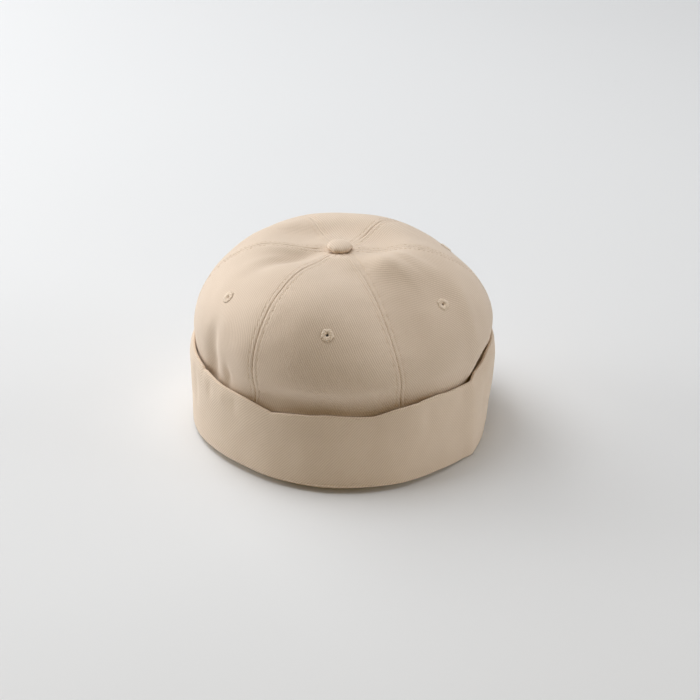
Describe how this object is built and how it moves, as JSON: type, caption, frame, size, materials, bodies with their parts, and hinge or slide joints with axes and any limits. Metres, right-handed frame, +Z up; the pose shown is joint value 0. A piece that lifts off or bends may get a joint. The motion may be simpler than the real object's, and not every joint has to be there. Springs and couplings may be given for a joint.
{
  "type": "docker cap",
  "caption": "Brimless docker cap with a rounded panelled crown, embroidered vent eyelets, a covered button on top and a wide turned-up cuff, to be worn on the head.",
  "frame": {"origin": "centre of the cap at the cuff's bottom fold, on the surface that it stands on", "axes": "+Z up to the button, -Y towards the front panel, +X towards the wearer's left"},
  "size_m": [0.1997, 0.204, 0.1258],
  "materials": {
    "crown_cloth": "matt beige cotton twill",
    "cuff_cloth": "matt beige cotton twill, double",
    "button_cloth": "matt beige cotton twill over a button",
    "thread": "beige embroidery thread"
  },
  "bodies": {
    "root": {"crown_panel_front": "crown_cloth", "crown_panel_front_left": "crown_cloth", "crown_panel_back_left": "crown_cloth", "crown_panel_back": "crown_cloth", "crown_panel_back_right": "crown_cloth", "crown_panel_front_right": "crown_cloth", "eyelet_front": "thread", "eyelet_front_left": "thread", "eyelet_back_left": "thread", "eyelet_back": "thread", "eyelet_back_right": "thread", "eyelet_front_right": "thread", "button": "button_cloth", "cuff": "cuff_cloth"}
  },
  "joints": []
}
